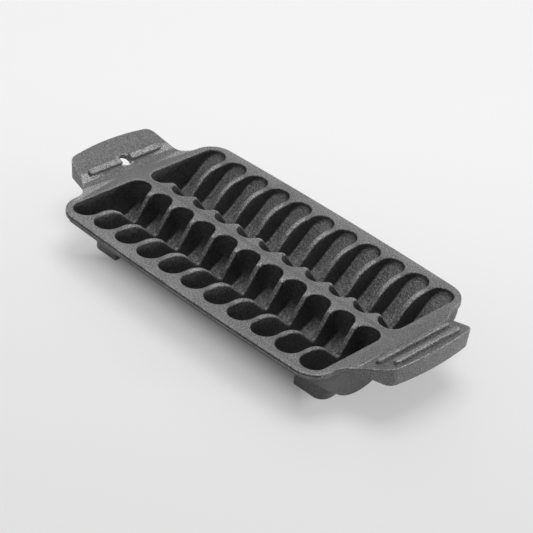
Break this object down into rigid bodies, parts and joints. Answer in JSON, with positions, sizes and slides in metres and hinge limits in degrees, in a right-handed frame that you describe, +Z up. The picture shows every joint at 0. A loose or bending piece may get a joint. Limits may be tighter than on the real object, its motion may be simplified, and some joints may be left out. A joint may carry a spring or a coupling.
{
  "type": "grill pan",
  "caption": "Cast iron grill pan for shrimp: rows of deep curved wells parted by saddle ribs, a sloping grip at each end, a hanging hole and short feet.",
  "frame": {"origin": "middle of the pan on the surface that it stands on, level with the undersides of the feet", "axes": "+Z up, +X along the pan to the grip that has no hole, +Y across the pan"},
  "size_m": [0.3322, 0.1598, 0.0486],
  "materials": {
    "iron_top": "matte, finely sand-textured cast surface",
    "iron_body": "matte, as cast"
  },
  "bodies": {
    "root": {"deck_plate": "iron_top", "rim_bead_near": "iron_body", "rim_bead_far": "iron_body", "spine_web": "iron_body", "bowl_near": "iron_body", "bowl_far": "iron_body", "end_wall_hang_near": "iron_body", "end_wall_hang_far": "iron_body", "end_wall_plain_near": "iron_body", "end_wall_plain_far": "iron_body", "rib_near_01": "iron_top", "rib_near_02": "iron_top", "rib_near_03": "iron_top", "rib_near_04": "iron_top", "rib_near_05": "iron_top", "rib_near_06": "iron_top", "rib_near_07": "iron_top", "rib_near_08": "iron_top", "rib_near_09": "iron_top", "rib_near_10": "iron_top", "rib_far_01": "iron_top", "rib_far_02": "iron_top", "rib_far_03": "iron_top", "rib_far_04": "iron_top", "rib_far_05": "iron_top", "rib_far_06": "iron_top", "rib_far_07": "iron_top", "rib_far_08": "iron_top", "rib_far_09": "iron_top", "rib_far_10": "iron_top", "grip_hang_plate": "iron_top", "grip_hang_skirt": "iron_body", "grip_plain_plate": "iron_top", "grip_plain_skirt": "iron_body", "grip_hang_bar_near": "iron_top", "grip_hang_bar_far": "iron_top", "grip_plain_bar_inner": "iron_top", "grip_plain_bar_outer": "iron_top", "foot_hang_near": "iron_body", "foot_hang_far": "iron_body", "foot_plain_near": "iron_body", "foot_plain_far": "iron_body"}
  },
  "joints": []
}
